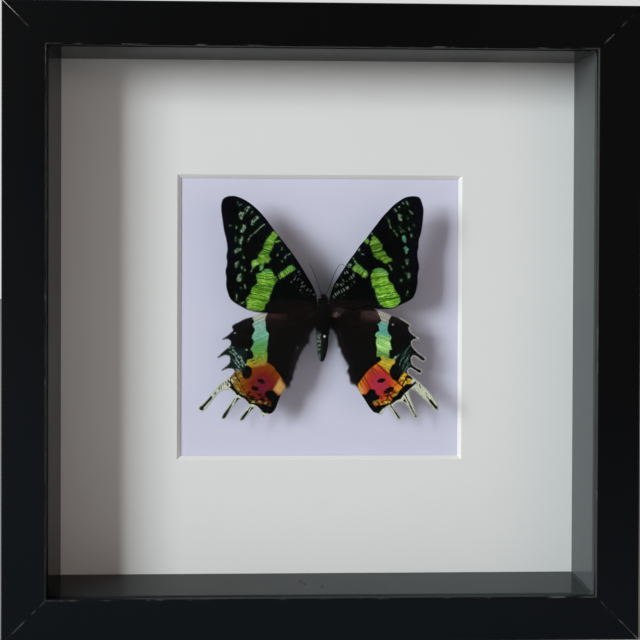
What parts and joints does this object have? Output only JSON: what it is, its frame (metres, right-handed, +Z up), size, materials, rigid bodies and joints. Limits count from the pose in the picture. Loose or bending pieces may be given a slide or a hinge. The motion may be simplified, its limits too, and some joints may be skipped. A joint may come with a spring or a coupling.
{
  "type": "framed butterfly specimen",
  "caption": "Square deep box frame with glass, spacer walls, window mat and card, holding a pinned day-flying moth with spread, tailed wings; stands on its base or hangs on its back.",
  "frame": {"origin": "middle of the frame's underside, where it stands", "axes": "+Z up, +X to the right seen from the front, +Y from the glass towards the back; the glass faces -Y"},
  "size_m": [0.25, 0.045, 0.25],
  "materials": {
    "frame_foil": "satin black foil over fibreboard, faint wear at the mitres and arrises",
    "spacer_board": "smooth satin near-black board that mirrors the mat faintly",
    "clear_glass": "clear float glass",
    "mat_board": "matte off-white mat board with a white bevelled window",
    "lilac_card": "matte pale lilac card",
    "hardboard": "smooth brown hardboard",
    "steel": "zinc-plated steel",
    "wing_scales": "velvety black wing scales with iridescent green, turquoise, gold and crimson bands",
    "body_hair": "dark brown-black hair with a teal sheen on the abdomen"
  },
  "bodies": {
    "root": {"rail_top": "frame_foil", "rail_right": "frame_foil", "rail_bottom": "frame_foil", "rail_left": "frame_foil", "tab_top_1": "steel", "tab_top_2": "steel", "tab_right_1": "steel", "tab_right_2": "steel", "tab_bottom_1": "steel", "tab_bottom_2": "steel", "tab_left_1": "steel", "tab_left_2": "steel", "glass_pane": "clear_glass", "spacer_top": "spacer_board", "spacer_bottom": "spacer_board", "spacer_left": "spacer_board", "spacer_right": "spacer_board", "mat": "mat_board", "mount_card": "lilac_card", "back_panel": "hardboard", "hanger": "steel", "rivet_left": "steel", "rivet_right": "steel", "moth_body": "body_hair", "forewing_left": "wing_scales", "forewing_right": "wing_scales", "hindwing_left": "wing_scales", "hindwing_right": "wing_scales", "antenna_left": "wing_scales", "antenna_right": "wing_scales", "specimen_pin": "steel"}
  },
  "joints": []
}
